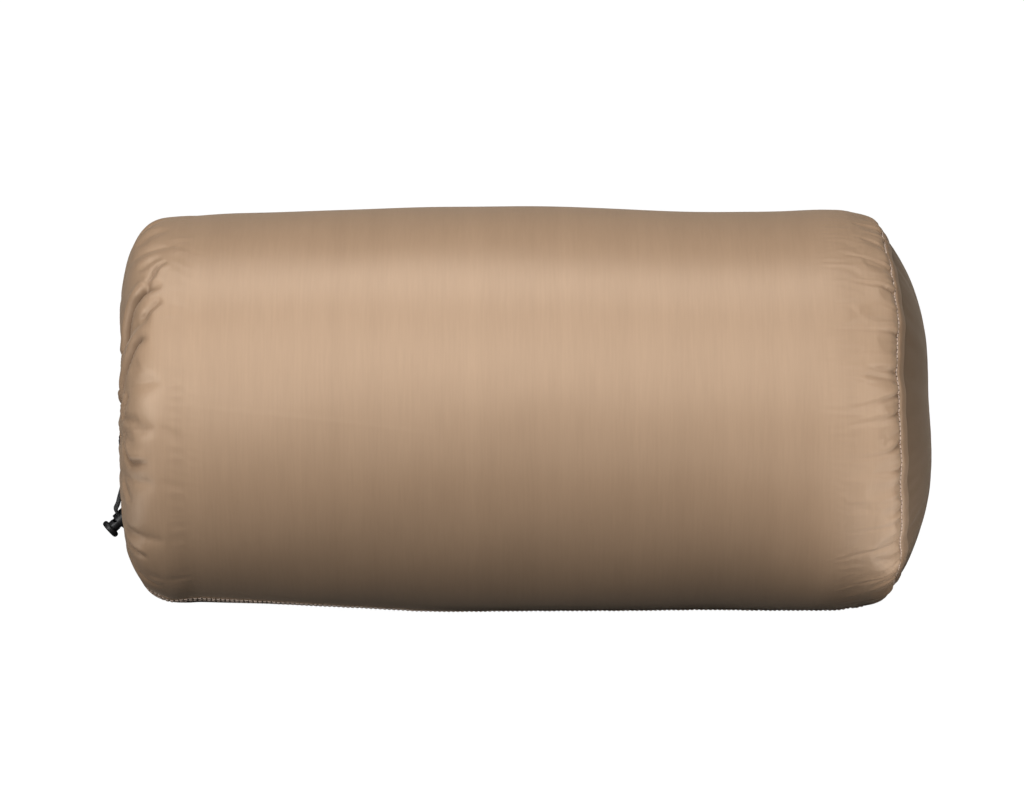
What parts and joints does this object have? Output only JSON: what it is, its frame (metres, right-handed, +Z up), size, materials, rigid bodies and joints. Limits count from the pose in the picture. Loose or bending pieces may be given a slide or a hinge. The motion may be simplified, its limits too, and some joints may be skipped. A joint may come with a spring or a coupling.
{
  "type": "drawstring camp pillow sack",
  "caption": "Soft round camp pillow packed in a satin drawstring sack, lying on its side, with a cord lock on the drawcord tails.",
  "frame": {"origin": "centre of the flat patch on the underside that the filled sack rests on, at ground level", "axes": "+X along the sack from the drawn-up mouth to the closed base, +Z up, so the cord lock hangs at -X, +Y"},
  "size_m": [0.5029, 0.247, 0.2429],
  "materials": {
    "sack_fabric": "satin",
    "thread": "matte",
    "cord": "matte",
    "lock_plastic": "satin",
    "spring_steel": "satin",
    "pillow_cover": "matte",
    "pillow_fill": "matte"
  },
  "bodies": {
    "sack": {"side_panel": "sack_fabric", "end_panel": "sack_fabric", "cord_casing": "sack_fabric", "end_seam_thread": "thread", "side_seam_thread": "thread", "casing_thread": "thread", "drawcord_loop": "cord", "pillow_cover": "pillow_cover", "pillow_fill": "pillow_fill"},
    "cord_tails": {"cord_tails": "cord"},
    "cord_lock": {"lock_barrel": "lock_plastic", "lock_spring": "spring_steel"},
    "plunger": {"lock_plunger": "lock_plastic"}
  },
  "joints": [
    {"name": "tail lift", "type": "hinge", "parent": "sack", "child": "cord_tails", "pos_m": [-0.2451, 0.02032, 0.10328], "axis": [0, 0.6239, 0.7815], "range_deg": [0, 90]},
    {"name": "lock slide", "type": "slide", "parent": "cord_tails", "child": "cord_lock", "axis": [0.5828, 0.5, -0.6405], "range_m": [-0.001, 0.022]},
    {"name": "plunger press", "type": "slide", "parent": "cord_lock", "child": "plunger", "axis": [0.7396, 0, 0.673], "range_m": [0, 0.004], "stiffness_N_per_m": 900, "springref_m": -0.002, "deforming": ["lock_spring"]}
  ]
}
